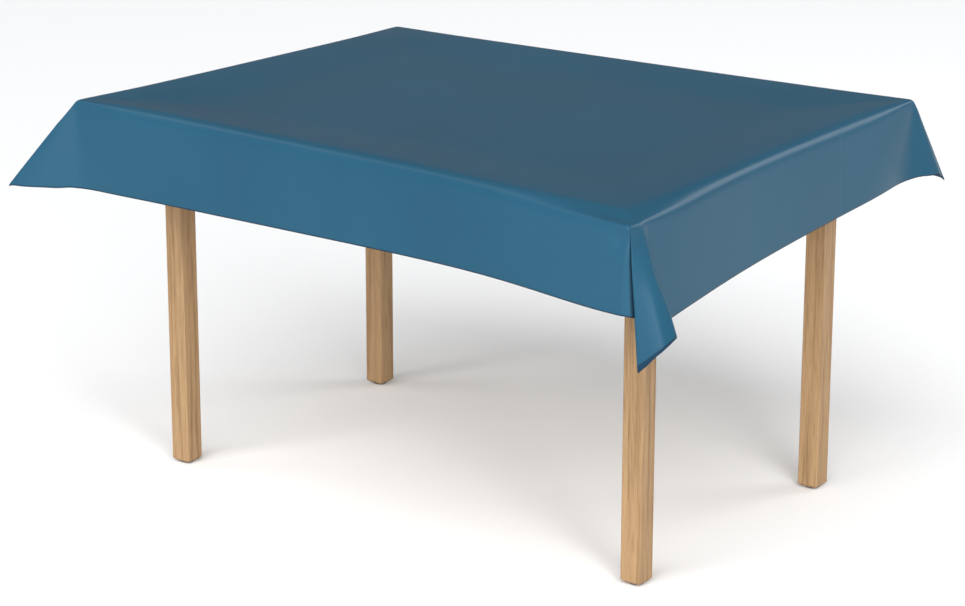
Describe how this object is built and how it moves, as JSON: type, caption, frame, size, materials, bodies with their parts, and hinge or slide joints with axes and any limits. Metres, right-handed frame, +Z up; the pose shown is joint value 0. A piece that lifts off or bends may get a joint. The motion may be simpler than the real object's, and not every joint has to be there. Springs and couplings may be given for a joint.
{
  "type": "tablecloth on a table",
  "caption": "Smooth coated tablecloth draped over a rectangular wooden table, with flared and folded corners and plain square legs.",
  "frame": {"origin": "on the floor, under the middle of the whole object's bounding box; the table's own middle is at x 0.039, y -0.048", "axes": "+X along the table's long side, -Y towards the long side with the folded corner at its +X end, +Z up"},
  "size_m": [1.4684, 1.1678, 0.7472],
  "materials": {
    "oilcloth": "satin steel-blue coating on a dark navy backing",
    "board_wood": "sealed board",
    "oak": "light oak, matt lacquer, straight upright grain",
    "bracket_steel": "zinc-plated pressed sheet",
    "zinc_fasteners": "zinc plated",
    "glide_plastic": "black moulded"
  },
  "bodies": {
    "table": {"apron_back": "oak", "apron_front": "oak", "apron_left": "oak", "apron_right": "oak", "bracket_screw_back_left_long": "zinc_fasteners", "bracket_screw_back_left_short": "zinc_fasteners", "bracket_screw_back_right_long": "zinc_fasteners", "bracket_screw_back_right_short": "zinc_fasteners", "bracket_screw_front_left_long": "zinc_fasteners", "bracket_screw_front_left_short": "zinc_fasteners", "bracket_screw_front_right_long": "zinc_fasteners", "bracket_screw_front_right_short": "zinc_fasteners", "clip_screw_back_apron": "zinc_fasteners", "clip_screw_back_board": "zinc_fasteners", "clip_screw_front_apron": "zinc_fasteners", "clip_screw_front_board": "zinc_fasteners", "clip_screw_left_apron": "zinc_fasteners", "clip_screw_left_board": "zinc_fasteners", "clip_screw_right_apron": "zinc_fasteners", "clip_screw_right_board": "zinc_fasteners", "corner_bracket_back_left": "bracket_steel", "corner_bracket_back_right": "bracket_steel", "corner_bracket_front_left": "bracket_steel", "corner_bracket_front_right": "bracket_steel", "foot_glide_back_left": "glide_plastic", "foot_glide_back_right": "glide_plastic", "foot_glide_front_left": "glide_plastic", "foot_glide_front_right": "glide_plastic", "hanger_bolt_back_left": "zinc_fasteners", "hanger_bolt_back_right": "zinc_fasteners", "hanger_bolt_front_left": "zinc_fasteners", "hanger_bolt_front_right": "zinc_fasteners", "leg_back_left": "oak", "leg_back_right": "oak", "leg_front_left": "oak", "leg_front_right": "oak", "nut_back_left": "zinc_fasteners", "nut_back_right": "zinc_fasteners", "nut_front_left": "zinc_fasteners", "nut_front_right": "zinc_fasteners", "tabletop": "board_wood", "top_clip_back": "bracket_steel", "top_clip_front": "bracket_steel", "top_clip_left": "bracket_steel", "top_clip_right": "bracket_steel", "washer_back_left": "zinc_fasteners", "washer_back_right": "zinc_fasteners", "washer_front_left": "zinc_fasteners", "washer_front_right": "zinc_fasteners"},
    "tablecloth": {"tablecloth": "oilcloth"}
  },
  "joints": [
    {"name": "tablecloth_lift", "type": "slide", "parent": "table", "child": "tablecloth", "axis": [0, 0, 1], "range_m": [0, 0.4]}
  ]
}
